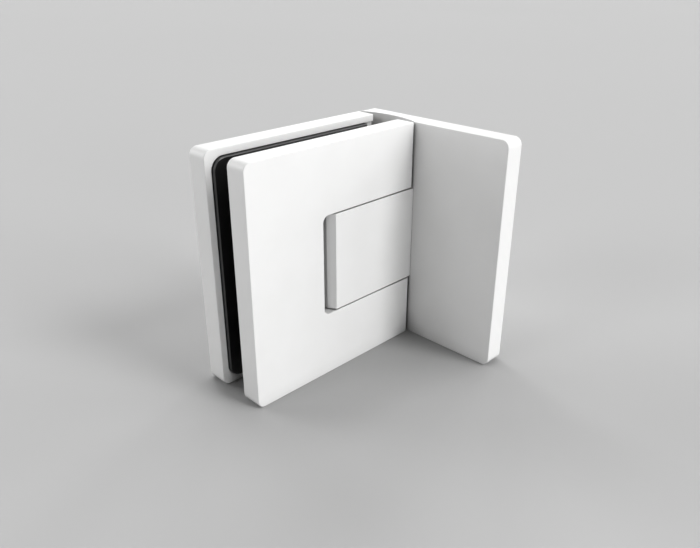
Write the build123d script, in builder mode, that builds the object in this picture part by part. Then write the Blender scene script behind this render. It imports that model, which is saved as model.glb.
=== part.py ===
from math import cos, hypot, pi, sin, sqrt
from build123d import *
import os

# Wall-to-glass door hinge, millimetres. The wall is the plane X = 0 and the glass runs off to -X.
# The glass lies in the plane Y = 0, +Z is up, and Z = 0 is half-way up the hinge.

# Glass and clamp plates
glass_thickness = 10.0
gasket_thickness = 1.25     # proud of the plate, under the glass
clamp_height = 90.0
clamp_width = 80.0
clamp_thickness = 8.5
corner_radius = 3.0         # rounded outer corners of the white plates
edge_radius = 0.3           # broken sharp edges of the white pieces
end_gap = 1.0               # clamp plates to the wall cover's face

# Gaskets, each in a shallow recess that runs out at the plate's wall end
recess_depth = 1.0
recess_border = 2.5         # plate edge to the recess
recess_radius = 5.0         # recess corners at the free end of the plates
gasket_fit = 0.3            # gasket to its recess, all round
gasket_end_margin = 4.5     # plate's wall end to the gasket's end
gasket_edge = 0.45          # rounding of the glass-side edge

# Wall cover, and the base plate that it hides
cover_depth = 8.5           # wall plane to the cover's glass-side face
cover_reach = 56.0          # glass mid-plane to the cover's front edge
cover_rim = 2.0             # thickness of the cover's three side walls
cover_fit = 0.2             # play round the base plate, and rim to wall
cover_rear_radius = 1.0     # cover's corners behind the clamp
base_thickness = 4.0
base_corner = 2.0
base_setback = 1.0          # base plate's rear edge behind the cover's rear edge
tongue_width = 1.2
tongue_height = 1.0
tongue_fit = 0.1
hollow_rim = 0.3            # flat left beside the hollow at the cover's rear edge

# Pivot and knuckle block
pivot_offset = 28.0         # cover face to the pin's axis
block_reach = 44.0          # cover face to the block's free end
block_height = 38.0
bevel_length = 1.9          # bevel of the block's free corners, along the glass
bevel_width = 3.1           # the same bevel, across the glass
block_gap = 0.5             # block to the notch edges above and below
block_slot_fit = 0.15       # block to the cover's slot
notch_radius = 2.5
knuckle_clearance = 0.75    # swinging notch edge to the block's corner
swing_clearance = 0.35      # swinging plate corner to the cover's hollow

# Pivot pin, bushes and washers
pin_radius = 5.0
pin_length = 64.0
pin_chamfer = 0.8
cam_depth = 0.8             # depth of the pin's four detent flats
cam_margin = 0.5            # flats past the follower, above and below
bore_gap = 0.3              # pin to the block's own bore
running_fit = 0.03          # pin to bush, radial
seat_fit = 0.02             # bush to block, and pin to lug, radial
bush_radius = 7.0
bush_length = 5.0
washer_radius = 9.0
washer_thickness = 1.0
washer_sink = 0.8           # depth of the washer's seat in the block
washer_fit = 0.1

# Cam follower and its springs
follower_length = 7.0       # along its travel
follower_width = 10.0
follower_end_gap = 1.2      # follower to the bushes above and below
follower_fit = 0.1          # follower to its pocket, each side
follower_gap = 0.05         # follower to the pin's full radius
follower_edge = 0.6
spring_spacing = 12.0       # upper spring axis to lower spring axis
spring_radius = 3.6         # coil centre line
spring_wire = 0.7           # wire radius
spring_turns = 7
spring_end_closing = 0.45   # how far the end coils close up: 0 is an even pitch
spring_points = 12          # points on the centre line in each turn
spring_seat_depth = 2.0
spring_fit = 0.3            # spring to its seat in the follower, radial
spring_end_gap = 0.05

# Lugs that hold the pin's ends
lug_width = 22.0
lug_height = 13.5
lug_front_gap = 0.3         # lug to the front clamp plate
lug_edge = 0.8
window_gap = 2.5            # lug or clamp screw to the edge of the gaskets' window

# Screws
thread_fit = 0.05           # screw to its tapped hole, radial
hole_fit = 0.2              # screw to its clearance hole, radial
tip_gap = 0.5               # screw tip to the end of its blind hole
socket_depth = 1.6
clamp_screw_radius = 3.0
clamp_head_radius = 6.0
clamp_socket = 4.0          # across flats
clamp_spacing_x = 36.0
clamp_spacing_z = 59.0
clamp_screw_bite = 5.75     # thread engaged in the front plate
lug_screw_radius = 2.0
lug_head_radius = 4.0
lug_socket = 2.5
lug_spacing_x = 16.0
lug_screw_bite = 5.8        # thread engaged in the rear plate
pin_screw_radius = 2.5
pin_socket = 2.5
pin_screw_length = 8.0
pin_flat_depth = 0.5
pin_flat_length = 6.0
block_screw_radius = 2.5
block_head_radius = 4.6
block_socket = 3.0
block_spacing_y = 16.8
block_spacing_z = 28.0
block_screw_bite = 12.0     # thread engaged in the block
cover_screw_radius = 1.5
cover_socket = 1.5
cover_screw_length = 3.0
cover_screw_spacing = 34.0
cover_screw_inset = 12.0    # cover's front edge to the first cover screw
cover_screw_sink = 0.5
wall_hole_radius = 2.75
wall_sink_radius = 5.25
wall_hole_inset = 12.0      # cover's front edge to the first pair of wall holes
wall_spacing_y = 47.0
wall_spacing_z = 64.0

# Places that follow from those sizes
clamp_half = clamp_height / 2
slot_half = glass_thickness / 2 + gasket_thickness
stack_half = slot_half + clamp_thickness
cover_face_x = -cover_depth
plate_end_x = cover_face_x - end_gap
plate_free_x = plate_end_x - clamp_width
pivot_x = cover_face_x - pivot_offset
block_end_x = cover_face_x - block_reach
block_half = block_height / 2
notch_half = block_half + block_gap
block_corner_swing = hypot(block_end_x + bevel_length - pivot_x, stack_half)
notch_x = pivot_x - sqrt((block_corner_swing + knuckle_clearance) ** 2 - slot_half**2)
plate_corner_swing = hypot(pivot_offset - end_gap, stack_half)
hollow_depth = plate_corner_swing + swing_clearance - pivot_offset
hollow_half = stack_half - hollow_rim
pocket_half_z = clamp_half - cover_rim
pocket_front_y = cover_rim - cover_reach
base_front_y = pocket_front_y + cover_fit
base_rear_y = stack_half - base_setback
base_half_z = pocket_half_z - cover_fit
mid_base_x = -base_thickness / 2
follower_front_x = pivot_x + pin_radius + follower_gap
follower_back_x = follower_front_x + follower_length
washer_floor_z = block_half - washer_sink
follower_height = 2 * (washer_floor_z - bush_length - follower_end_gap)
cam_length = follower_height + 2 * cam_margin
lug_depth = 2 * slot_half - lug_front_gap
lug_centre_z = notch_half + lug_height / 2
window_x = pivot_x - clamp_spacing_x / 2 - clamp_screw_radius - window_gap
window_half = notch_half + lug_height + window_gap
cover_screws_y = cover_screw_inset - cover_reach + cover_screw_spacing / 2
cover_screws_z = cover_screw_sink - clamp_half
wall_holes_y = wall_hole_inset - cover_reach + wall_spacing_y / 2

# Where the screws stand: spacings of the sets of four, along the first and second axes of their planes
clamp_spacing = (clamp_spacing_x, clamp_spacing_z)
lug_spacing = (lug_spacing_x, 2 * lug_centre_z)
block_spacing = (block_spacing_y, block_spacing_z)
wall_spacing = (wall_spacing_y, wall_spacing_z)

# Planes that sketches and screws are set on; each one faces out of the piece it belongs to
front_slot_plane = Plane((pivot_x, -slot_half, 0), x_dir=(1, 0, 0), z_dir=(0, 1, 0))
rear_slot_plane = Plane((pivot_x, slot_half, 0), x_dir=(1, 0, 0), z_dir=(0, -1, 0))
rear_back_plane = Plane((pivot_x, stack_half, 0), x_dir=(1, 0, 0), z_dir=(0, 1, 0))
lug_front_plane = rear_slot_plane.offset(lug_depth)
wall_plane = Plane.YZ
base_front_plane = Plane((-base_thickness, wall_holes_y, 0), x_dir=(0, 1, 0), z_dir=(-1, 0, 0))
block_seat_plane = Plane.YZ.offset(-base_thickness)
cover_foot_plane = Plane((mid_base_x, cover_screws_y, cover_screws_z), x_dir=(1, 0, 0), z_dir=(0, 0, -1))
pin_foot_plane = Plane((pivot_x, 0, -pin_length / 2))


def finish(piece, name):
    """Name a finished piece and write it to its own file."""
    piece.part.label = name
    export_step(piece.part, f"parts/{name}.step")


def make_gasket_outline(plane, end_x, fit):
    """The flat C that a gasket covers up to end_x, this much smaller than its recess all round."""
    free_x = plate_free_x + recess_border + fit
    cut_x = window_x - fit
    with BuildSketch(plane) as outline:
        with Locations((free_x, 0)):
            outline_size = (end_x - free_x, clamp_height - 2 * (recess_border + fit))
            Rectangle(*outline_size, align=(Align.MIN, Align.CENTER))
        fillet(outline.vertices().group_by(Axis.X)[0], recess_radius - fit)
        with Locations((cut_x, 0)):
            window_size = (end_x - cut_x, 2 * (window_half + fit))
            Rectangle(*window_size, align=(Align.MIN, Align.CENTER), mode=Mode.SUBTRACT)
    return outline


def make_clamp_plate(side):
    """One clamp plate on its side of the glass, with the notch that swings round the block."""
    inner_plane = Plane.XZ.offset(-side * slot_half)
    with BuildPart() as plate:
        with BuildSketch(inner_plane) as outline:
            with Locations(((plate_free_x + plate_end_x) / 2, 0)):
                Rectangle(clamp_width, clamp_height)
            with Locations((plate_end_x, 0)):
                notch_size = (plate_end_x - notch_x, 2 * notch_half)
                Rectangle(*notch_size, align=(Align.MAX, Align.CENTER), mode=Mode.SUBTRACT)
            fillet(outline.vertices().group_by(Axis.X)[1], notch_radius)
            fillet(outline.vertices().group_by(Axis.X)[0], corner_radius)
        extrude(amount=-side * clamp_thickness)
        fillet(plate.faces().filter_by(Axis.Y).edges(), edge_radius)
    recess = make_gasket_outline(inner_plane, plate_end_x, 0)
    with plate:
        extrude(recess.sketch, amount=-side * recess_depth, mode=Mode.SUBTRACT)
    return plate


def make_gasket(side):
    """A flat C of rubber, set in its plate's recess and proud of the plate on the glass side."""
    floor_y = side * (slot_half + recess_depth)
    outline = make_gasket_outline(Plane.XZ.offset(-floor_y), plate_end_x - gasket_end_margin, gasket_fit)
    with BuildPart() as gasket:
        extrude(outline.sketch, amount=side * (recess_depth + gasket_thickness))
        glass_face = gasket.faces().filter_by(Axis.Y).sort_by(Axis.Y)[0 if side > 0 else -1]
        fillet(glass_face.edges(), gasket_edge)
    return gasket


def make_sunk_screws(head_plane, spacing, shank, head, socket, length):
    """Four countersunk hex-socket screws with their heads flush in one plane."""
    top = (Align.CENTER, Align.CENTER, Align.MAX)
    with BuildPart(head_plane) as screws:
        with GridLocations(*spacing, 2, 2):
            Cylinder(shank, length, align=top)
            Cone(shank, head, head - shank, align=top)
        with BuildSketch(head_plane):
            with GridLocations(*spacing, 2, 2):
                RegularPolygon(socket / 2, 6, major_radius=False)
        extrude(amount=-socket_depth, mode=Mode.SUBTRACT)
    return screws


def make_grub_screws(outer_plane, spacing, radius, socket, length):
    """Two headless hex-socket screws that start in one plane."""
    with BuildPart() as screws:
        with BuildSketch(outer_plane):
            with GridLocations(1, spacing, 1, 2):
                Circle(radius)
        extrude(amount=-length)
        with BuildSketch(outer_plane):
            with GridLocations(1, spacing, 1, 2):
                RegularPolygon(socket / 2, 6, major_radius=False)
        extrude(amount=-length / 2, mode=Mode.SUBTRACT)
    return screws


def make_ring(foot_z, thickness, outer, inner):
    """A plain ring round the pin's axis."""
    with BuildPart() as ring:
        with BuildSketch(Plane((pivot_x, 0, foot_z))):
            Circle(outer)
            Circle(inner, mode=Mode.SUBTRACT)
        extrude(amount=thickness)
    return ring


def make_lug(side):
    """A lug between the plates that holds one end of the pin, above or below the block."""
    centre_z = side * lug_centre_z
    with BuildPart() as lug:
        with BuildSketch(rear_slot_plane):
            with Locations((0, centre_z)):
                Rectangle(lug_width, lug_height)
        extrude(amount=lug_depth)
        fillet(lug.edges().filter_by(Axis.Y), lug_edge)
        with Locations((pivot_x, 0, centre_z)):
            Cylinder(pin_radius + seat_fit, lug_height, mode=Mode.SUBTRACT)
        with Locations(lug_front_plane):
            with Locations((-lug_spacing_x / 2, centre_z), (lug_spacing_x / 2, centre_z)):
                CounterSinkHole(lug_screw_radius + hole_fit, lug_head_radius + hole_fit, lug_depth, 90)
        with BuildSketch(rear_slot_plane):
            with Locations((0, centre_z)):
                Circle(pin_screw_radius + thread_fit)
        extrude(amount=slot_half, mode=Mode.SUBTRACT)
    return lug


def make_spring(side):
    """A compression spring along X, wound closer towards both ends."""
    centre_z = side * spring_spacing / 2
    start_x = follower_back_x - spring_seat_depth + spring_end_gap + spring_wire
    end_x = -base_thickness - spring_end_gap - spring_wire
    steps = spring_turns * spring_points
    path = []
    for step in range(steps + 1):
        along = step / steps - spring_end_closing * sin(2 * pi * step / steps) / (2 * pi)
        turn = 2 * pi * step / spring_points
        x = start_x + (end_x - start_x) * along
        path.append((x, spring_radius * cos(turn), centre_z + spring_radius * sin(turn)))
    with BuildPart() as spring:
        with BuildLine():
            coil = Spline(*path)
        with BuildSketch(Plane(coil @ 0, z_dir=coil % 0)):
            Circle(spring_wire)
        sweep()
    return spring


os.makedirs("parts", exist_ok=True)

# Front clamp plate: blind tapped holes in its hidden face take the clamp screws
front_plate = make_clamp_plate(-1)
with front_plate:
    with Locations(front_slot_plane):
        with GridLocations(*clamp_spacing, 2, 2):
            Hole(clamp_screw_radius + thread_fit, clamp_screw_bite + tip_gap)
finish(front_plate, "front_plate")

# Rear clamp plate: countersunk for the clamp screws, tapped through for the pin screws
rear_plate = make_clamp_plate(1)
with rear_plate:
    with Locations(rear_back_plane):
        with GridLocations(*clamp_spacing, 2, 2):
            clamp_hole = clamp_screw_radius + hole_fit
            CounterSinkHole(clamp_hole, clamp_head_radius + hole_fit, clamp_thickness, 90)
        with GridLocations(1, 2 * lug_centre_z, 1, 2):
            Hole(pin_screw_radius + thread_fit, clamp_thickness)
    with Locations(rear_slot_plane):
        with GridLocations(*lug_spacing, 2, 2):
            Hole(lug_screw_radius + thread_fit, lug_screw_bite + tip_gap)
finish(rear_plate, "rear_plate")

# Rubber between each plate and the glass
finish(make_gasket(-1), "front_gasket")
finish(make_gasket(1), "rear_gasket")

# Lugs and their screws
finish(make_lug(1), "upper_lug")
finish(make_lug(-1), "lower_lug")
lug_screw_length = lug_depth + lug_screw_bite
lug_sizes = (lug_screw_radius, lug_head_radius, lug_socket, lug_screw_length)
finish(make_sunk_screws(lug_front_plane, lug_spacing, *lug_sizes), "lug_screws")

# Clamp screws, from the back of the rear plate into the front plate
clamp_screw_length = clamp_thickness + 2 * slot_half + clamp_screw_bite
clamp_sizes = (clamp_screw_radius, clamp_head_radius, clamp_socket, clamp_screw_length)
finish(make_sunk_screws(rear_back_plane, clamp_spacing, *clamp_sizes), "clamp_screws")

# Pivot pin: four cam flats in the middle, and a small flat near each end for its grub screw
with BuildPart() as pivot_pin:
    with BuildSketch(pin_foot_plane):
        Circle(pin_radius)
    extrude(amount=pin_length)
    chamfer(pivot_pin.edges().filter_by(GeomType.CIRCLE), pin_chamfer)
    with BuildSketch(pin_foot_plane.offset((pin_length - cam_length) / 2)):
        with PolarLocations(pin_radius, 4):
            Rectangle(2 * cam_depth, 2 * pin_radius)
    extrude(amount=cam_length, mode=Mode.SUBTRACT)
    with Locations((pivot_x, pin_radius, lug_centre_z), (pivot_x, pin_radius, -lug_centre_z)):
        Box(2 * pin_radius, 2 * pin_flat_depth, pin_flat_length, mode=Mode.SUBTRACT)
finish(pivot_pin, "pivot_pin")

# Grub screws that lock the pin in its lugs; their tips rest on the pin's end flats
pin_screw_y = pin_radius - pin_flat_depth + seat_fit + pin_screw_length
pin_screw_sizes = (pin_screw_radius, pin_socket, pin_screw_length)
pin_screw_plane = Plane((pivot_x, pin_screw_y, 0), x_dir=(1, 0, 0), z_dir=(0, 1, 0))
finish(make_grub_screws(pin_screw_plane, 2 * lug_centre_z, *pin_screw_sizes), "pin_screws")

# Knuckle block: bevelled free corners, the pin's bore across it and the follower's pocket along it
with BuildPart() as pivot_block:
    with BuildSketch():
        with BuildLine():
            bevel_x = block_end_x + bevel_length
            bevel_y = stack_half - bevel_width
            Polyline((-base_thickness, 0), (-base_thickness, stack_half), (bevel_x, stack_half),
                     (block_end_x, bevel_y), (block_end_x, 0))
            mirror(about=Plane.XZ)
        make_face()
    extrude(amount=block_half, both=True)
    bevel_edges = pivot_block.edges().filter_by(Axis.Z)
    fillet(bevel_edges.filter_by_position(Axis.X, block_end_x, bevel_x), edge_radius)
    fillet(pivot_block.faces().filter_by(Axis.Z).edges(), edge_radius)
    with BuildSketch(block_seat_plane):
        Rectangle(follower_width + 2 * follower_fit, follower_height + 2 * follower_fit)
    extrude(amount=pivot_x + base_thickness, mode=Mode.SUBTRACT)
    with Locations((pivot_x, 0, 0)):
        Cylinder(pin_radius + bore_gap, block_height, mode=Mode.SUBTRACT)
    for side in (1, -1):
        with BuildSketch(Plane((pivot_x, 0, side * block_half))):
            Circle(bush_radius + seat_fit)
        extrude(amount=-side * (washer_sink + bush_length), mode=Mode.SUBTRACT)
        with BuildSketch(Plane((pivot_x, 0, side * block_half))):
            Circle(washer_radius + washer_fit)
        extrude(amount=-side * washer_sink, mode=Mode.SUBTRACT)
    with Locations(block_seat_plane):
        with GridLocations(*block_spacing, 2, 2):
            Hole(block_screw_radius + thread_fit, block_screw_bite + tip_gap)
finish(pivot_block, "pivot_block")

# Bushes pressed into the block, and thrust washers that carry the door's weight
bush_size = (bush_length, bush_radius, pin_radius + running_fit)
washer_size = (washer_thickness, washer_radius, pin_radius + washer_fit)
finish(make_ring(washer_floor_z - bush_length, *bush_size), "upper_bush")
finish(make_ring(-washer_floor_z, *bush_size), "lower_bush")
finish(make_ring(washer_floor_z, *washer_size), "upper_washer")
finish(make_ring(-washer_floor_z - washer_thickness, *washer_size), "lower_washer")

# Cam follower: its flat nose faces the pin's flats, and two seats in its back hold the springs
with BuildPart() as cam_follower:
    with Locations((follower_front_x + follower_length / 2, 0, 0)):
        Box(follower_length, follower_width, follower_height)
    fillet(cam_follower.edges().filter_by(Axis.X), follower_edge)
    with Locations(Plane.YZ.offset(follower_back_x)):
        with GridLocations(1, spring_spacing, 1, 2):
            Hole(spring_radius + spring_wire + spring_fit, spring_seat_depth)
finish(cam_follower, "cam_follower")

finish(make_spring(1), "upper_spring")
finish(make_spring(-1), "lower_spring")

# Base plate: screwed to the wall, it carries the block and hooks the cover
with BuildPart() as base_plate:
    with BuildSketch(wall_plane):
        with Locations((base_front_y, 0)):
            base_size = (base_rear_y - base_front_y, 2 * base_half_z)
            outline = Rectangle(*base_size, align=(Align.MIN, Align.CENTER))
        fillet(outline.vertices(), base_corner)
    extrude(amount=-base_thickness)
    with Locations(base_front_plane):
        with GridLocations(*wall_spacing, 2, 2):
            CounterSinkHole(wall_hole_radius, wall_sink_radius, base_thickness, 90)
    with Locations(wall_plane):
        with GridLocations(*block_spacing, 2, 2):
            block_hole = block_screw_radius + hole_fit
            CounterSinkHole(block_hole, block_head_radius + hole_fit, base_thickness, 90)
    groove_floor_z = pocket_half_z - tongue_height - tongue_fit
    groove_size = (tongue_width + 2 * tongue_fit, 2 * cover_reach, clamp_half - groove_floor_z)
    with Locations((mid_base_x, 0, groove_floor_z)):
        Box(*groove_size, align=(Align.CENTER, Align.CENTER, Align.MIN), mode=Mode.SUBTRACT)
    with Locations(cover_foot_plane):
        with GridLocations(1, cover_screw_spacing, 1, 2):
            Hole(cover_screw_radius + hole_fit, cover_screw_length + tip_gap)
finish(base_plate, "base_plate")

block_screw_length = base_thickness + block_screw_bite
block_sizes = (block_screw_radius, block_head_radius, block_socket, block_screw_length)
finish(make_sunk_screws(wall_plane, block_spacing, *block_sizes), "block_screws")

# Wall cover: a shallow tray open at its rear edge, so that it slides on past the block
with BuildPart() as wall_cover:
    with BuildSketch(Plane.YZ.offset(-cover_fit)) as cover_outline:
        with Locations((-cover_reach, 0)):
            cover_size = (cover_reach + stack_half, clamp_height)
            outline = Rectangle(*cover_size, align=(Align.MIN, Align.CENTER))
        fillet(outline.vertices().group_by(Axis.X)[-1], cover_rear_radius)
        fillet(cover_outline.vertices().group_by(Axis.X)[0], corner_radius)
    extrude(amount=cover_fit - cover_depth)
    fillet(wall_cover.faces().filter_by(Axis.X).edges(), edge_radius)
    with BuildSketch():
        with BuildLine():
            hollow_ends = ((cover_face_x, -hollow_half), (cover_face_x, hollow_half))
            ThreePointArc(hollow_ends[0], (cover_face_x + hollow_depth, 0), hollow_ends[1])
            outer_x = cover_face_x - end_gap
            Polyline(hollow_ends[1], (outer_x, hollow_half), (outer_x, -hollow_half), hollow_ends[0])
        make_face()
    extrude(amount=clamp_height, both=True, mode=Mode.SUBTRACT)
    with BuildSketch(wall_plane):
        with Locations((pocket_front_y, 0)):
            pocket_size = (2 * cover_reach, 2 * pocket_half_z)
            Rectangle(*pocket_size, align=(Align.MIN, Align.CENTER))
    extrude(amount=-base_thickness - cover_fit, mode=Mode.SUBTRACT)
    with BuildSketch(wall_plane):
        with Locations((-stack_half - block_slot_fit, 0)):
            slot_size = (2 * cover_reach, block_height + 2 * block_slot_fit)
            Rectangle(*slot_size, align=(Align.MIN, Align.CENTER))
    extrude(amount=-2 * cover_depth, mode=Mode.SUBTRACT)
    with Locations((mid_base_x, pocket_front_y, pocket_half_z)):
        tongue_size = (tongue_width, base_rear_y - pocket_front_y, tongue_height)
        Box(*tongue_size, align=(Align.CENTER, Align.MIN, Align.MAX))
    with Locations(cover_foot_plane.offset(cover_screw_sink)):
        with GridLocations(1, cover_screw_spacing, 1, 2):
            Hole(cover_screw_radius + thread_fit, cover_rim + cover_fit)
finish(wall_cover, "wall_cover")

cover_sizes = (cover_screw_radius, cover_socket, cover_screw_length)
finish(make_grub_screws(cover_foot_plane, cover_screw_spacing, *cover_sizes), "cover_screws")
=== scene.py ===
# %% [markdown]
# # A hinge for a glass door
#
# This hinge holds a glass door on a wall. A base plate is screwed to the wall, and a cover hides
# it. A knuckle block stands out from the base plate, and a steel pin runs through it. Two clamp
# plates turn with that pin and hold the glass between them, on two sheets of rubber.
#
# The imported model already has each piece at its real size. This lesson gives the pieces their
# finishes, cuts real threads on the screws, winds the springs again, and sets the hinge on a pale
# studio floor.

# %% Load the imported model
from math import cos, pi, radians, sin

import bmesh
import bpy
from mathutils import Matrix, Vector


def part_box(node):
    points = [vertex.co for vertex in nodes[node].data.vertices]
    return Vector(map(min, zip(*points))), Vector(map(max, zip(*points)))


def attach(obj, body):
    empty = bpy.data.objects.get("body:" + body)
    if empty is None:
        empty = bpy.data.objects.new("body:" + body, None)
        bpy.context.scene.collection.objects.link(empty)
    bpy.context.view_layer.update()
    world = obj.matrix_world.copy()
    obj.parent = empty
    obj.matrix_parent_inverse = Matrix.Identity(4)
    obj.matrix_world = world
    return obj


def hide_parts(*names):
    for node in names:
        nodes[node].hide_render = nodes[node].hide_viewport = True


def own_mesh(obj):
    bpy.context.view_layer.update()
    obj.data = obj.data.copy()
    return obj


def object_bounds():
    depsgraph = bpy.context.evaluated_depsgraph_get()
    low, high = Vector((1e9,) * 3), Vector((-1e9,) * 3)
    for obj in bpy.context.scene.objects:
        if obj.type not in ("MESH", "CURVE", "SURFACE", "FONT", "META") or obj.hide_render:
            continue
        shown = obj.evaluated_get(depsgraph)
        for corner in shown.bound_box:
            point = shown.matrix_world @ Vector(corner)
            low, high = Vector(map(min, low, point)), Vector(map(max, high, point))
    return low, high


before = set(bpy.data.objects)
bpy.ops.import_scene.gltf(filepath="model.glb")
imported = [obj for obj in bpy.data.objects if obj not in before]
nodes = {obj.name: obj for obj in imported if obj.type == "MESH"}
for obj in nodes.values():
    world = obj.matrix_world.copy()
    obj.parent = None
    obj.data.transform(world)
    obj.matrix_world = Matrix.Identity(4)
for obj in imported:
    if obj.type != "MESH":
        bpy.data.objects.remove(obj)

MM = 0.001
bpy.context.view_layer.update()
cad_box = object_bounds()
low, high = cad_box
print("pieces in the packed model:", len(nodes))
print("its box in mm:", [round(size / MM, 2) for size in high - low])

# %% [markdown]
# ## The camera
#
# A product is easiest to read from a corner and a little above, where its front, its end and its
# top all show. The camera looks along a compass direction half-way between the +X and +Y axes, and
# dips by 25 degrees. A lens of 35 mm from a quarter of a metre away gives the strong perspective
# of a small object seen close up. We work out the direction from the two angles, and
# `to_track_quat` turns it into a rotation.
#
# Blender keeps data, such as a lens or a mesh, apart from the object that has a place in the
# scene. A short function makes the object for any data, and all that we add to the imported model
# goes through it.

# %% Camera
def add_object(name, data):
    """A new object that shows this data, linked to the scene."""
    thing = bpy.data.objects.new(name, data)
    bpy.context.scene.collection.objects.link(thing)
    return thing


camera_place = Vector((-208.8, -179.8, 102.4)) * MM
camera_turn = radians(45.02)     # from +Y towards +X
camera_dip = radians(25.03)      # below the horizon
camera_level = Vector((sin(camera_turn), cos(camera_turn), 0))
camera_looks = camera_level * cos(camera_dip) - Vector((0, 0, sin(camera_dip)))

camera_data = bpy.data.cameras.new("camera")
camera_data.sensor_width = 36
camera_data.lens = 35.22
camera_data.clip_start = 10 * MM
camera = add_object("camera", camera_data)
camera.location = camera_place
camera.rotation_mode = "QUATERNION"
camera.rotation_quaternion = camera_looks.to_track_quat("-Z", "Y")
bpy.context.scene.camera = camera
bpy.context.scene.view_settings.view_transform = "Standard"
print("camera to the hinge's middle in mm:", round((camera_place - (low + high) / 2).length / MM))

# %% [markdown]
# ## A small kit for node materials
#
# Every finish below is a Principled shader with a few nodes round it. The same few jobs come up
# again and again, so each is written once, as a short function. The first two make the material
# and place a noise pattern in the object's own space. An image would need each piece unwrapped
# first, and noise doesn't. Object coordinates are in metres here, so a noise scale of 1000 gives
# specks of about a millimetre.

# %% Material and noise
def new_material(name):
    """A node material with one Principled shader, and that shader."""
    material = bpy.data.materials.new(name)
    material.use_nodes = True
    return material, material.node_tree.nodes["Principled BSDF"]


def noise(material, size, detail=2.0, stretch=(1, 1, 1)):
    """Noise with specks of this size in metres; a stretch below 1 draws it out on that axis."""
    tree = material.node_tree
    place = tree.nodes.new("ShaderNodeTexCoord")
    mapping = tree.nodes.new("ShaderNodeMapping")
    mapping.inputs["Scale"].default_value = stretch
    pattern = tree.nodes.new("ShaderNodeTexNoise")
    pattern.inputs["Scale"].default_value = 1 / size
    pattern.inputs["Detail"].default_value = detail
    tree.links.new(place.outputs["Object"], mapping.inputs["Vector"])
    tree.links.new(mapping.outputs["Vector"], pattern.inputs["Vector"])
    return pattern.outputs["Fac"]


print("a noise with specks of a millimetre has a scale of", round(1 / MM))

# %% [markdown]
# ## What a pattern can do
#
# A pattern alone shows nothing. It can choose between two close colours, lift the surface a hair,
# or move the roughness, and each of these is one node with its links. A Bump node tilts the light
# and moves no point of the mesh, so it suits relief that is too small to model.

# %% Colour, relief and roughness
NOISE_LOW, NOISE_HIGH = 0.3, 0.7     # noise seldom leaves this range


def ramp(material, value, low_end, high_end):
    """Turns a value from 0 to 1 into one colour at its low end and another at its high end."""
    tree = material.node_tree
    node = tree.nodes.new("ShaderNodeValToRGB")
    node.color_ramp.elements[0].position = NOISE_LOW
    node.color_ramp.elements[1].position = NOISE_HIGH
    node.color_ramp.elements[0].color = (*low_end, 1)
    node.color_ramp.elements[1].color = (*high_end, 1)
    tree.links.new(value, node.inputs["Fac"])
    return node.outputs["Color"]


def bump(material, height, depth, under=None):
    """A Bump node that lifts the surface by up to this depth in metres, on top of another bump."""
    tree = material.node_tree
    node = tree.nodes.new("ShaderNodeBump")
    node.inputs["Strength"].default_value = 1.0
    node.inputs["Distance"].default_value = depth
    tree.links.new(height, node.inputs["Height"])
    if under:
        tree.links.new(under, node.inputs["Normal"])
    return node.outputs["Normal"]


def spread_roughness(material, value, smooth, rough):
    """Lets a pattern move the roughness between two values."""
    tree = material.node_tree
    node = tree.nodes.new("ShaderNodeMapRange")
    node.inputs["To Min"].default_value = smooth
    node.inputs["To Max"].default_value = rough
    tree.links.new(value, node.inputs["Value"])
    tree.links.new(node.outputs["Result"], tree.nodes["Principled BSDF"].inputs["Roughness"])


print("two colours are spread over noise from", NOISE_LOW, "to", NOISE_HIGH)

# %% [markdown]
# ## Painted shade in the seams, and putting a finish on
#
# White pieces throw so much light at one another that the seams between them almost vanish, so
# shade is painted into their colour there. An Ambient Occlusion node measures how open the space
# above a point is, within a chosen reach. A colour ramp turns that openness into a grey, and the
# colour is multiplied by it. Lines drawn on by hand would stay behind when the door turns, and this
# painted shade moves with the pieces.

# %% Painted seam shade and dressing
OPENNESS_RAYS = 8     # rays that each sample sends out to measure the open space


def paint_occlusion_shade(material, colour, reach, stops):
    """Paints shade into a colour where it is shut in: each stop pairs an openness, 0 to 1, with a
    grey.
    """
    tree = material.node_tree
    shut_in = tree.nodes.new("ShaderNodeAmbientOcclusion")
    shut_in.samples = OPENNESS_RAYS
    shut_in.inputs["Distance"].default_value = reach
    level = tree.nodes.new("ShaderNodeValToRGB")
    marks = level.color_ramp.elements
    middle = (marks[0].position + marks[-1].position) / 2
    while len(marks) < len(stops):
        marks.new(middle)
    for mark, (openness, grey) in zip(marks, stops):
        mark.position = openness
        mark.color = (grey, grey, grey, 1)
    product = tree.nodes.new("ShaderNodeVectorMath")
    product.operation = "MULTIPLY"
    tree.links.new(shut_in.outputs["AO"], level.inputs["Fac"])
    tree.links.new(colour, product.inputs[0])
    tree.links.new(level.outputs["Color"], product.inputs[1])
    return product.outputs["Vector"]


def dress(material, *names):
    """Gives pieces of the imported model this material."""
    for name in names:
        for slot in nodes[name].material_slots:
            slot.material = material
    print(material.name, "on", ", ".join(names))


print("materials that came with the packed model:", len(bpy.data.materials))

# %% [markdown]
# ## White powder coat
#
# The clamp plates, the knuckle block and the wall cover are die-cast or milled, and then powder
# coated in matt white. Baked powder is never quite flat: it has a faint orange peel, waves a
# millimetre or so long, with a much finer grain on them that makes the coat matt. Both are far too
# small to model, so a Bump node carries them. The colour drifts by a percent between one patch and
# the next, as a sprayed coat does. Shade is painted into the seams with a reach of 12 mm, mostly
# where less than half of the space is open: that finds the slots, and hardly touches the wide inner
# corner.

# %% Powder coat
# painted shade in the seams: how far it looks, and the grey at each openness
PAINTED_SEAM_SHADE_REACH = 12 * MM
PAINTED_SEAM_SHADE_STOPS = ((0.3, 0.5), (0.5, 0.9), (0.65, 1.0))     # each an openness and its grey


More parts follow.
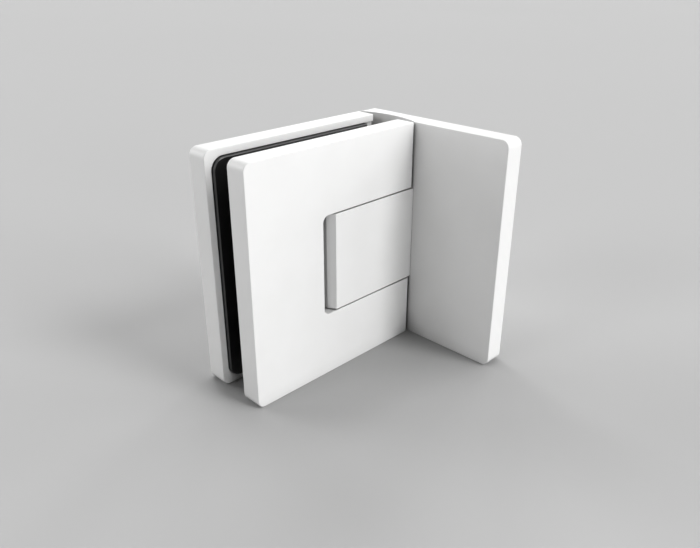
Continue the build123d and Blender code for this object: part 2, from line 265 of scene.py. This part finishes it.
def make_powder_coat():
    material, shader = new_material("white_powder_coat")
    cloud = noise(material, size=14 * MM, detail=3)
    coat_colour = ramp(material, cloud, low_end=(0.79, 0.79, 0.785), high_end=(0.81, 0.81, 0.807))
    # the coat colour gets painted shade, darker where the seams shut it in
    colour = paint_occlusion_shade(material, coat_colour, PAINTED_SEAM_SHADE_REACH, PAINTED_SEAM_SHADE_STOPS)
    peel = noise(material, size=1.3 * MM, detail=1)
    grain = noise(material, size=0.12 * MM, detail=3)
    waves = bump(material, peel, depth=0.008 * MM)
    coat = bump(material, grain, depth=0.003 * MM, under=waves)
    links = material.node_tree.links
    links.new(colour, shader.inputs["Base Color"])
    links.new(coat, shader.inputs["Normal"])
    spread_roughness(material, grain, smooth=0.42, rough=0.56)
    return material


dress(make_powder_coat(), "front_plate", "rear_plate", "pivot_block", "wall_cover")

# %% [markdown]
# ## Black rubber
#
# The glass never touches metal. A sheet of black rubber on each clamp plate grips it and takes up
# what is uneven. Moulded rubber filled with soot is nearly black, so what the eye gets from it is
# its shine: a soft glint along its rounded edges, broken up by a fine grain from the mould. An
# index of refraction of 1.7 makes that glint a little stronger than the usual 1.5 would. Sheen
# would look like dust here, so there is none.

# %% Rubber
def make_rubber():
    material, shader = new_material("black_rubber_sheet")
    patch = noise(material, size=6 * MM, detail=4)
    colour = ramp(material, patch, low_end=(0.003, 0.003, 0.0032), high_end=(0.006, 0.006, 0.0062))
    grain = noise(material, size=0.2 * MM)
    links = material.node_tree.links
    links.new(colour, shader.inputs["Base Color"])
    links.new(bump(material, grain, depth=0.01 * MM), shader.inputs["Normal"])
    shader.inputs["IOR"].default_value = 1.7
    spread_roughness(material, patch, smooth=0.28, rough=0.4)
    return material


dress(make_rubber(), "front_gasket", "rear_gasket")

# %% [markdown]
# ## Metals
#
# The metal pieces differ in how they were made, and that is what the eye reads. Turned steel has
# fine rings round its axis. A rolled and brushed plate has long scratches in one direction. Drawn
# wire is smooth and a little darker, and milled brass is warm and has short marks. All of them are
# the same few nodes. A noise drawn out on one or two axes moves the roughness and the bump, and a
# second one, four times as coarse, lays faint streaks of colour in the same direction.

# %% Metals
def make_metal(name, dark, bright, smooth, rough, grain, stretch, relief):
    """A bare metal: two colours, a range of roughness, and its marks' size, direction and depth."""
    material, shader = new_material(name)
    shader.inputs["Metallic"].default_value = 1.0
    marks = noise(material, grain, detail=5, stretch=stretch)
    streaks = noise(material, 4 * grain, detail=3, stretch=stretch)
    links = material.node_tree.links
    links.new(ramp(material, streaks, dark, bright), shader.inputs["Base Color"])
    links.new(bump(material, marks, relief), shader.inputs["Normal"])
    spread_roughness(material, marks, smooth, rough)
    return material


brushed_steel = make_metal("brushed_stainless", dark=(0.52, 0.52, 0.52), bright=(0.62, 0.62, 0.61),
                           smooth=0.26, rough=0.44, grain=0.25 * MM, stretch=(1, 1, 0.02),
                           relief=0.006 * MM)
turned_steel = make_metal("turned_stainless", dark=(0.58, 0.58, 0.58), bright=(0.66, 0.66, 0.65),
                          smooth=0.18, rough=0.32, grain=0.12 * MM, stretch=(0.1, 0.1, 1),
                          relief=0.003 * MM)
spring_wire = make_metal("drawn_spring_wire", dark=(0.34, 0.34, 0.35), bright=(0.46, 0.46, 0.47),
                         smooth=0.22, rough=0.36, grain=0.2 * MM, stretch=(0.2, 1, 1),
                         relief=0.003 * MM)
milled_brass = make_metal("milled_brass", dark=(0.64, 0.45, 0.19), bright=(0.76, 0.56, 0.27),
                          smooth=0.24, rough=0.38, grain=0.25 * MM, stretch=(0.1, 1, 0.1),
                          relief=0.005 * MM)

dress(brushed_steel, "base_plate")
dress(turned_steel, "pivot_pin")
dress(milled_brass, "upper_lug", "lower_lug", "cam_follower")

# %% [markdown]
# ## Nylon
#
# The bushes and the thrust washers run on the steel pin without oil, so they are moulded in nylon.
# It is milky, and light goes a little way into it. A small amount of subsurface scattering, a
# millimetre deep, softens its edges in just that way.

# %% Nylon
def make_nylon():
    material, shader = new_material("natural_nylon")
    patch = noise(material, size=4 * MM, detail=3)
    colour = ramp(material, patch, low_end=(0.72, 0.69, 0.62), high_end=(0.78, 0.76, 0.70))
    grain = noise(material, size=0.3 * MM)
    links = material.node_tree.links
    links.new(colour, shader.inputs["Base Color"])
    links.new(bump(material, grain, depth=0.004 * MM), shader.inputs["Normal"])
    shader.inputs["Roughness"].default_value = 0.45
    shader.inputs["Subsurface Weight"].default_value = 0.15
    shader.inputs["Subsurface Scale"].default_value = 1 * MM
    return material


dress(make_nylon(), "upper_bush", "lower_bush", "upper_washer", "lower_washer")

# %% [markdown]
# ## Rings for a screw
#
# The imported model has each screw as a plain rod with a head, which is all that a fit needs. On the
# real hinge the threads catch the light between the plates, and each socket ends in a drilled
# point. A thread could be made with the Screw modifier, but then it has to be joined to the head
# and the socket. Here the whole screw is one skin over a stack of rings instead. Each ring has its
# own rule for the distance from the axis, which depends on the angle: a round rule gives the head,
# a six-sided rule gives the socket, and a rule that swings once a turn gives the thread.

# %% Rules for a ring
RING_POINTS = 48       # points round a screw; it divides by six, so that a socket gets its corners
RINGS_A_TURN = 10      # rings to each turn of a thread
THREAD_DEPTH = 0.6     # depth of a thread, as a share of its pitch
CREST = 0.15           # how flat the crests are: 0 makes them sharp
FLANK = 1.25           # how steep the flanks are


def round_rule(radius):
    """The same distance at every angle."""
    return lambda angle, height: radius


def hex_rule(across):
    """Distance from the middle to a hexagon's side, for a hexagon this wide across its flats."""
    def rule(angle, height):
        from_flat = (angle % (pi / 3)) - pi / 6
        return across / 2 / cos(from_flat)
    return rule


def thread_rule(radius, pitch):
    """A rolled thread: flat crests at the full radius, and grooves between them."""
    def rule(angle, height):
        phase = (height / pitch - angle / (2 * pi)) % 1
        groove = 1 - abs(2 * phase - 1)
        return radius - THREAD_DEPTH * pitch * min(1, max(0, FLANK * groove - CREST))
    return rule


def thread_rings(rule, start, stop, pitch):
    """Rings along a thread, a few to each turn of it."""
    count = max(2, round((stop - start) / pitch * RINGS_A_TURN))
    return [(rule, start + (stop - start) * step / count) for step in range(count + 1)]


probe = thread_rule(3 * MM, 1 * MM)
print("an M6 thread is", round(2 * probe(0, 0) / MM, 2), "mm over its crests,",
      round(2 * probe(0, 0.5 * MM) / MM, 2), "mm in its grooves")

# %% [markdown]
# ## Skin over the rings
#
# The mesh is a tube of quads through all the rings, from the tip up to the head and then down into
# the socket, so the inside of the socket belongs to the same skin. Its faces are smooth, so that
# 48 sides look round. Joining rows of points is a job of its own here, because the springs need it
# too.

# %% Rows of points
def join_rows(mesh, rows):
    """Joins each closed row of points to the next one with smooth quads."""
    for row, next_row in zip(rows, rows[1:]):
        for step, point in enumerate(row):
            after = (step + 1) % len(row)
            face = mesh.faces.new((point, row[after], next_row[after], next_row[step]))
            face.smooth = True


def ring_tube(mesh, rings):
    """A tube through a stack of rings along Z, and its rows of points."""
    rows = []
    for rule, height in rings:
        row = []
        for step in range(RING_POINTS):
            angle = 2 * pi * step / RING_POINTS
            radius = rule(angle, height)
            row.append(mesh.verts.new((radius * cos(angle), radius * sin(angle), height)))
        rows.append(row)
    join_rows(mesh, rows)
    return rows


print("points in a turn of thread:", RING_POINTS * RINGS_A_TURN)

# %% [markdown]
# ## Ends and crisp edges
#
# A point on the axis closes each end of the tube. Then an edge is marked sharp wherever its two
# faces meet at more than 35 degrees. Without those marks a flat head would be shaded like a dome.

# %% Ends and edges
SHARP_ANGLE = radians(35)


def close_row(mesh, row, height, top):
    """Closes a row of points to one point on the axis."""
    middle = mesh.verts.new((0, 0, height))
    for step, point in enumerate(row):
        corners = (point, row[(step + 1) % len(row)], middle)
        face = mesh.faces.new(corners if top else reversed(corners))
        face.smooth = True


def finished_mesh(name, mesh):
    """Moves a bmesh into new mesh data."""
    data = bpy.data.meshes.new(name)
    mesh.to_mesh(data)
    mesh.free()
    return data


def screw_mesh(name, rings, tip_height, drill_height):
    """The finished screw: skin, blunt tip, the point drilled in its socket, and crisp edges."""
    mesh = bmesh.new()
    rows = ring_tube(mesh, rings)
    close_row(mesh, rows[0], tip_height, top=False)
    close_row(mesh, rows[-1], drill_height, top=True)
    mesh.normal_update()
    for edge in mesh.edges:
        edge.smooth = edge.calc_face_angle(0) < SHARP_ANGLE
    return finished_mesh(name, mesh)


rod = screw_mesh("rod", [(round_rule(MM), 0), (round_rule(MM), MM)], tip_height=0, drill_height=MM)
print("faces in a plain rod:", len(rod.polygons))
bpy.data.meshes.remove(rod)

# %% [markdown]
# ## Two kinds of screw
#
# The hinge needs countersunk screws, whose heads end flush with the metal, and grub screws, which
# have no head at all. Both have a chamfered tip, so that they start easily in the tapped hole, and
# a hexagon socket with a small chamfer round its mouth. Lengths and radii are in metres, and the
# runs of the chamfers are shares of the pitch or of the socket, as they are on bought screws.

# %% Two kinds of screw
SOCKET_DEPTH = 1.6 * MM    # socket of a countersunk screw
MOUTH = 1.06               # socket at its mouth, as a share of its width
MOUTH_DEPTH = 0.03         # depth of that chamfer, as a share of its width
DRILL_POINT = 0.25         # depth of the drilled point below the socket, as a share of its width
TIP_INSET = 0.75           # the tip's chamfer inwards, in pitches
TIP_RUN = 0.7              # and along the screw
HEAD_RUN = 0.8             # plain shank left under a head, in pitches
END_INSET = 0.5            # chamfer at a grub screw's outer end, inwards
END_RUN = 0.4              # and along the screw


def socket_rings(across, depth):
    """A hexagon socket, from its mouth down to its floor."""
    return [
        (hex_rule(across * MOUTH), 0),
        (hex_rule(across), -MOUTH_DEPTH * across),
        (hex_rule(across), -depth),
    ]


def countersunk_screw(name, shank, head, socket, length, pitch):
    """A countersunk hex-socket screw, its head flush with Z = 0 and its tip at Z = -length."""
    neck = shank - head
    thread = thread_rule(shank, pitch)
    rings = [(round_rule(shank - TIP_INSET * pitch), -length)]
    rings += thread_rings(thread, -length + TIP_RUN * pitch, neck - HEAD_RUN * pitch, pitch)
    rings += [(round_rule(shank), neck), (round_rule(head), 0)]
    rings += socket_rings(socket, SOCKET_DEPTH)
    return screw_mesh(name, rings, -length, -SOCKET_DEPTH - DRILL_POINT * socket)


def grub_screw(name, shank, socket, length, pitch):
    """A headless screw, its outer end at Z = 0 and its socket half as deep as it is long."""
    depth = length / 2
    thread = thread_rule(shank, pitch)
    rings = [(round_rule(shank - TIP_INSET * pitch), -length)]
    rings += thread_rings(thread, -length + TIP_RUN * pitch, -END_RUN * pitch, pitch)
    rings += [(round_rule(shank - END_INSET * pitch), 0)]
    rings += socket_rings(socket, depth)
    return screw_mesh(name, rings, -length, -depth - DRILL_POINT * socket)


sample = grub_screw("sample", shank=2.5 * MM, socket=2.5 * MM, length=5 * MM, pitch=0.8 * MM)
print("faces in an M5 grub screw 5 mm long:", len(sample.polygons))
bpy.data.meshes.remove(sample)

# %% [markdown]
# ## Where the screws go
#
# Each set of screws stands at the corners of its own box, and the imported node gives that box.
# Its two corners, moved in by the radius of a head, are the screws' axes, and the side on which
# the heads lie is the plane where they start. So nothing has to be measured again: a screw is
# placed by the node that it replaces. Each one then rides on the body it is screwed into.

# %% Find the places
ONE_PLACE = 0.1 * MM     # two screws can't be closer than this, so it is one screw


def screw_starts(node, facing, radius):
    """Points where the screws of a node start, on the side of its box that faces this way."""
    corner_low, corner_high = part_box(node)
    across = [axis for axis in range(3) if facing[axis] == 0]
    along = 3 - sum(across)
    start = corner_high[along] if facing[along] > 0 else corner_low[along]
    choices = []
    for axis in across:
        first, last = corner_low[axis] + radius, corner_high[axis] - radius
        choices.append([first] if last - first < ONE_PLACE else [first, last])
    points = []
    for one in choices[0]:
        for other in choices[1]:
            point = Vector((0, 0, 0))
            point[across[0]], point[across[1]], point[along] = one, other, start
            points.append(point)
    return points


def place_screws(data, node, facing, radius, body):
    """Sets copies of one screw where the node's own screws are, and lets them stand for it."""
    data.materials.append(turned_steel)
    turn = Vector(facing).to_track_quat("Z", "Y").to_matrix().to_4x4()
    starts = screw_starts(node, facing, radius)
    for number, point in enumerate(starts, start=1):
        screw = add_object(f"{node[:-1]}_{number}", data)
        screw.matrix_world = Matrix.Translation(point) @ turn
        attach(screw, body)
        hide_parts(node)
    print(node, "start at", [tuple(round(value / MM, 2) for value in point) for point in starts])


first_corner, last_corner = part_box("clamp_screws")
print("box of the clamp screws in mm:",
      [round(size / MM, 2) for size in last_corner - first_corner])

# %% [markdown]
# ## The sixteen screws
#
# Four M6 screws pull the clamp plates together on the glass. Four M4 screws hold the lugs, and
# four M5 screws hold the knuckle block on the base plate. Two M5 grub screws lock the pin in its
# lugs, and two small M3 ones keep the cover in place. The radii, sockets and pitches are those of
# bought screws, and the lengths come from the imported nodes.

# %% Place the screws
def length_of(node, axis):
    """How long a node is along one axis."""
    corner_low, corner_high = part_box(node)
    return corner_high[axis] - corner_low[axis]


clamp_screw = countersunk_screw("clamp_screw", shank=3 * MM, head=6 * MM, socket=4 * MM,
                                length=length_of("clamp_screws", 1), pitch=1.0 * MM)
place_screws(clamp_screw, "clamp_screws", facing=(0, 1, 0), radius=6 * MM, body="clamp")

lug_screw = countersunk_screw("lug_screw", shank=2 * MM, head=4 * MM, socket=2.5 * MM,
                              length=length_of("lug_screws", 1), pitch=0.7 * MM)
place_screws(lug_screw, "lug_screws", facing=(0, -1, 0), radius=4 * MM, body="clamp")

block_screw = countersunk_screw("block_screw", shank=2.5 * MM, head=4.6 * MM, socket=3 * MM,
                                length=length_of("block_screws", 0), pitch=0.8 * MM)
place_screws(block_screw, "block_screws", facing=(1, 0, 0), radius=4.6 * MM, body="wall_side")

pin_screw = grub_screw("pin_screw", shank=2.5 * MM, socket=2.5 * MM,
                       length=length_of("pin_screws", 1), pitch=0.8 * MM)
place_screws(pin_screw, "pin_screws", facing=(0, 1, 0), radius=2.5 * MM, body="clamp")

cover_screw = grub_screw("cover_screw", shank=1.5 * MM, socket=1.5 * MM,
                         length=length_of("cover_screws", 2), pitch=0.5 * MM)
place_screws(cover_screw, "cover_screws", facing=(0, 0, -1), radius=1.5 * MM, body="wall_side")

# %% [markdown]
# ## Springs, wound again
#
# Two compression springs push the cam follower against the flat of the pin, and that holds the
# door at its closed place. When the door turns, the cam drives the follower a little way towards
# the wall, and the springs get shorter by as much. An imported piece can't change its length, and
# neither can the spring wound again here. The wire follows a helix whose turns lie close at both
# ends and open in the middle, as on a real spring.

# %% Wind the springs
WIRE_RADIUS = 0.7 * MM
SPRING_TURNS = 7
END_CLOSING = 0.45     # how far the end turns close up: 0 is an even pitch
TURN_STEPS = 32        # rings of points in each turn
WIRE_POINTS = 12       # points round the wire


def spring_point(share, coil_radius, length):
    """A point on the middle of the wire at this share of its way, for a spring along X from 0."""
    angle = 2 * pi * SPRING_TURNS * share
    along = share - END_CLOSING * sin(2 * pi * share) / (2 * pi)
    return Vector((length * along, coil_radius * cos(angle), coil_radius * sin(angle)))


def wire_ring(mesh, middle):
    """A ring of points round the wire, in the plane through the spring's axis."""
    outward = Vector((0, middle.y, middle.z)).normalized()
    ring = []
    for point in range(WIRE_POINTS):
        angle = 2 * pi * point / WIRE_POINTS
        offset = outward * cos(angle) + Vector((1, 0, 0)) * sin(angle)
        ring.append(mesh.verts.new(middle + offset * WIRE_RADIUS))
    return ring


def wind_spring(name, coil_radius, length):
    """A round wire swept along the helix, with its ends cut flat."""
    mesh = bmesh.new()
    count = SPRING_TURNS * TURN_STEPS
    way = [spring_point(step / count, coil_radius, length) for step in range(count + 1)]
    rings = [wire_ring(mesh, middle) for middle in way]
    join_rows(mesh, rings)
    mesh.faces.new(reversed(rings[0]))
    mesh.faces.new(rings[-1])
    bmesh.ops.recalc_face_normals(mesh, faces=mesh.faces)
    return finished_mesh(name, mesh)


print("faces along the wire of one spring:", SPRING_TURNS * TURN_STEPS * WIRE_POINTS)

# %% [markdown]
# ## Each spring in its place
#
# The box of a packed spring gives the length, the radius and the place of the one that stands for
# it.


def place_spring(node):
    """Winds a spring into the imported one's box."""
    free_end, fixed_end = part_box(node)
    middle = (free_end + fixed_end) / 2
    length = fixed_end.x - free_end.x
    coil_radius = (fixed_end.z - free_end.z) / 2 - WIRE_RADIUS
    data = wind_spring(f"{node}_coil", coil_radius, length - 2 * WIRE_RADIUS)
    data.materials.append(spring_wire)
    spring = add_object(f"{node}_coil", data)
    spring.location = (free_end.x + WIRE_RADIUS, middle.y, middle.z)
    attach(spring, "wall_side")
    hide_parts(node)
    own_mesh(spring)


place_spring("upper_spring")
place_spring("lower_spring")

# %% [markdown]
# ## Studio floor
#
# The hinge stands on its bottom edges on a wide pale floor that runs out of sight behind it. The
# floor's grey is a little darker than the paint, or the white hinge would be lost on it, and it is
# nearly matt, because a shiny floor would mirror the hinge. Close to the hinge a contact shadow is
# painted into its grey, by the same function as the painted shade in the seams but with a far
# longer reach, so that the hinge sits on the floor and doesn't float over it.

# %% Floor
FLOOR_HALF_SIDE = 6000 * MM
# painted contact shadow on the floor: how far it looks, and the grey at each openness
PAINTED_CONTACT_SHADE_REACH = 45 * MM
PAINTED_CONTACT_SHADE_STOPS = ((0.25, 0.78), (0.5, 0.8), (1.0, 1.0))     # each an openness and its grey


def make_floor_material():
    material, shader = new_material("studio_floor")
    cloud = noise(material, size=600 * MM, detail=1)
    sheet_colour = ramp(material, cloud, low_end=(0.50, 0.50, 0.50), high_end=(0.505, 0.505, 0.505))
    # the floor's grey gets a painted contact shadow, darker close to the hinge
    colour = paint_occlusion_shade(material, sheet_colour, PAINTED_CONTACT_SHADE_REACH, PAINTED_CONTACT_SHADE_STOPS)
    material.node_tree.links.new(colour, shader.inputs["Base Color"])
    shader.inputs["Roughness"].default_value = 0.9
    shader.inputs["Specular IOR Level"].default_value = 0.1
    return material


sheet = bmesh.new()
bmesh.ops.create_grid(sheet, x_segments=1, y_segments=1, size=FLOOR_HALF_SIDE)
floor_data = finished_mesh("floor", sheet)
floor_data.materials.append(make_floor_material())
floor = add_object("floor", floor_data)
floor.location.z = low.z
print("floor at", round(low.z / MM, 2), "mm")

# %% [markdown]
# ## Lamps
#
# Studio light is broad and comes from far off. A sun lamp with a wide disc gives just that: even
# light over the whole hinge, and shadows with soft edges. Each disc here is 20 degrees across, and
# fourteen of them stand round the hinge like softboxes round a table, at low, middle and high
# rises. A list holds them, so that one can be dimmed without a search. Those in front and at the
# wall light the white faces, and the wall cover shades them, which leaves a slow gradient on the
# clamp plate. Those at the back light the top edges and lay the soft shade on the floor in front.

# %% Lamps
SOFTBOX_BREADTH = radians(20)
PLAIN_WHITE = pi     # a sun of this strength makes a white surface that faces it plain white
SOFTBOXES = [
    # name, compass angle from +Y towards +X, rise above the horizon, strength
    ("back_low", 345, 8, 0.399),
    ("back_high", 20, 45, 0.199),
    ("back_top", 0, 68, 0.124),
    ("back_wall_side", 45, 26, 0.165),
    ("wall_side_back", 75, 26, 0.188),
    ("wall_side_front", 105, 26, 0.194),
    ("wall_side_low", 120, 8, 0.136),
    ("front_wall_side", 135, 26, 0.142),
    ("front_high", 160, 45, 0.312),
    ("front_middle", 165, 26, 0.205),
    ("front_low", 165, 8, 0.152),
    ("front_glass_side", 195, 8, 0.202),
    ("glass_side", 285, 26, 0.154),
    ("back_glass_side", 330, 26, 0.188),
]


def add_softbox(name, turn, rise, strength):
    """A far, wide lamp that shines on the hinge from a compass angle and a rise, in degrees."""
    data = bpy.data.lights.new(name, "SUN")
    data.angle = SOFTBOX_BREADTH
    data.energy = strength * PLAIN_WHITE
    lamp = add_object(name, data)
    level = Vector((sin(radians(turn)), cos(radians(turn)), 0))
    toward = level * cos(radians(rise)) + Vector((0, 0, sin(radians(rise))))
    lamp.rotation_mode = "QUATERNION"
    lamp.rotation_quaternion = (-toward).to_track_quat("-Z", "Y")


for softbox in SOFTBOXES:
    add_softbox(*softbox)
print("lamps:", len(SOFTBOXES), "of total strength", round(sum(box[-1] for box in SOFTBOXES), 2))

# %% [markdown]
# ## The backdrop
#
# The softboxes give all the light. What the camera sees behind the floor is a plain grey backdrop,
# and it is mirrored in the metals too. It shouldn't light the hinge a second time, so a Light Path
# node picks who gets to see it: rays from the camera, and rays that are mirrored or let through.
# For all other rays the world is dark.

# %% World
BACKDROP_GREY = 0.60


def make_world():
    world = bpy.data.worlds.new("studio")
    world.use_nodes = True
    tree = world.node_tree
    dark = tree.nodes["Background"]
    dark.inputs["Color"].default_value = (0, 0, 0, 1)
    backdrop = tree.nodes.new("ShaderNodeBackground")
    backdrop.inputs["Color"].default_value = (BACKDROP_GREY, BACKDROP_GREY, BACKDROP_GREY, 1)
    backdrop.inputs["Strength"].default_value = 1.0
    ray = tree.nodes.new("ShaderNodeLightPath")
    mirrored = tree.nodes.new("ShaderNodeMath")
    mirrored.operation = "MAXIMUM"
    seen = tree.nodes.new("ShaderNodeMath")
    seen.operation = "MAXIMUM"
    choose = tree.nodes.new("ShaderNodeMixShader")
    tree.links.new(ray.outputs["Is Glossy Ray"], mirrored.inputs[0])
    tree.links.new(ray.outputs["Is Transmission Ray"], mirrored.inputs[1])
    tree.links.new(ray.outputs["Is Camera Ray"], seen.inputs[0])
    tree.links.new(mirrored.outputs["Value"], seen.inputs[1])
    tree.links.new(seen.outputs["Value"], choose.inputs["Fac"])
    tree.links.new(dark.outputs["Background"], choose.inputs[1])
    tree.links.new(backdrop.outputs["Background"], choose.inputs[2])
    tree.links.new(choose.outputs["Shader"], tree.nodes["World Output"].inputs["Surface"])
    return world


bpy.context.scene.world = make_world()
print("world:", bpy.context.scene.world.name)

# %% [markdown]
# ## The end
#
# Last, the scene is brought up to date.

# %% Finish
bpy.context.view_layer.update()
